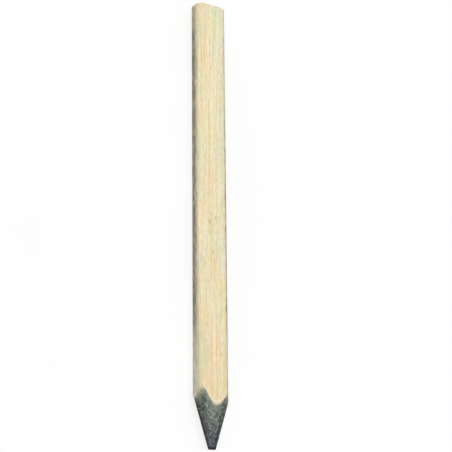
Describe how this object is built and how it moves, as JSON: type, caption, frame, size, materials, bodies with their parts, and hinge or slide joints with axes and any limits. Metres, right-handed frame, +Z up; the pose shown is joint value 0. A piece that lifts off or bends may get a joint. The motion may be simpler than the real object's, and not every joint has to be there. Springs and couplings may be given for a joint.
{
  "type": "carpenter pencil",
  "caption": "Unpainted wooden carpenter's pencil: flat rounded section, wide flat lead, a ground point blackened with graphite and cut off flat, and a square sawn end.",
  "frame": {"origin": "in the plane that the pencil lies on, under the middle of its length and width", "axes": "+Y along the pencil from its point to its sawn end, +Z up through its thickness, X across its width"},
  "size_m": [0.0136, 0.18, 0.0075],
  "materials": {
    "wood": "bare pale wood, planed, with the point blackened by graphite",
    "graphite": "matt fired graphite and clay",
    "glue": "dried wood glue"
  },
  "bodies": {
    "root": {"casing_upper": "wood", "casing_lower": "wood", "graphite_lead": "graphite", "lead_glue_sleeve": "glue", "glue_line_left": "glue", "glue_line_right": "glue"}
  },
  "joints": []
}
